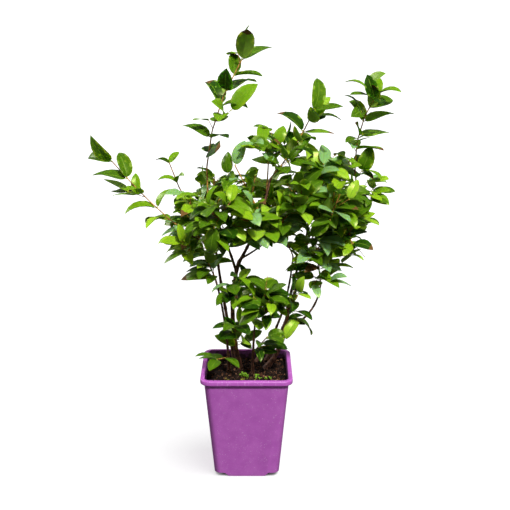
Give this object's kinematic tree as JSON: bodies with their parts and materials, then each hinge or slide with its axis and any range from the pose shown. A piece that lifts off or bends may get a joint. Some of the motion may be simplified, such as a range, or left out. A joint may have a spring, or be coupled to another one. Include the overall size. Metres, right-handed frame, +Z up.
{
  "type": "potted haskap berry shrub",
  "caption": "Young many-stemmed haskap shrub in leaf, in a square tapered plastic nursery pot filled with compost; bare thin stems fork into open masses of paired oval leaves.",
  "frame": {"origin": "under the middle of the pot, on the surface that it stands on", "axes": "+Z up the shrub, -Y towards its front, +X to the right as seen from the front"},
  "size_m": [0.4875, 0.3012, 0.7268],
  "materials": {
    "pot": "satin",
    "compost": "rough",
    "bark": "rough",
    "foliage": "satin"
  },
  "bodies": {
    "root": {"pot": "pot", "compost": "compost", "stem_left": "bark", "stem_left_thin": "bark", "stem_centre": "bark", "stem_right": "bark", "stem_right_thin": "bark", "stem_back_left": "bark", "stem_back_right": "bark", "bough_left": "bark", "bough_far_left": "bark", "bough_centre": "bark", "bough_low_centre": "bark", "bough_right_outer": "bark", "bough_right": "bark", "bough_right_arm": "bark", "leaves_tall_shoot": "foliage", "leaves_left_shoot": "foliage", "leaves_small_shoot": "foliage", "leaves_top_centre": "foliage", "leaves_top_right": "foliage", "leaves_right_upper": "foliage", "leaves_right_side": "foliage", "leaves_right_lower": "foliage", "leaves_right_low": "foliage", "leaves_left_low": "foliage", "leaves_left_mid": "foliage", "leaves_left_hanging": "foliage", "leaves_front_left": "foliage", "leaves_centre_upper": "foliage", "leaves_centre_left": "foliage", "leaves_centre": "foliage", "leaves_centre_right": "foliage", "leaves_front_right": "foliage", "leaves_low_left": "foliage", "leaves_low_centre": "foliage", "leaves_low_right": "foliage", "leaves_foot_left": "foliage", "leaves_rim_left": "foliage", "leaves_foot_right": "foliage", "leaves_back_left": "foliage", "leaves_back_left_low": "foliage", "leaves_back_centre": "foliage", "leaves_back_right": "foliage", "leaves_back_right_low": "foliage"}
  },
  "joints": []
}
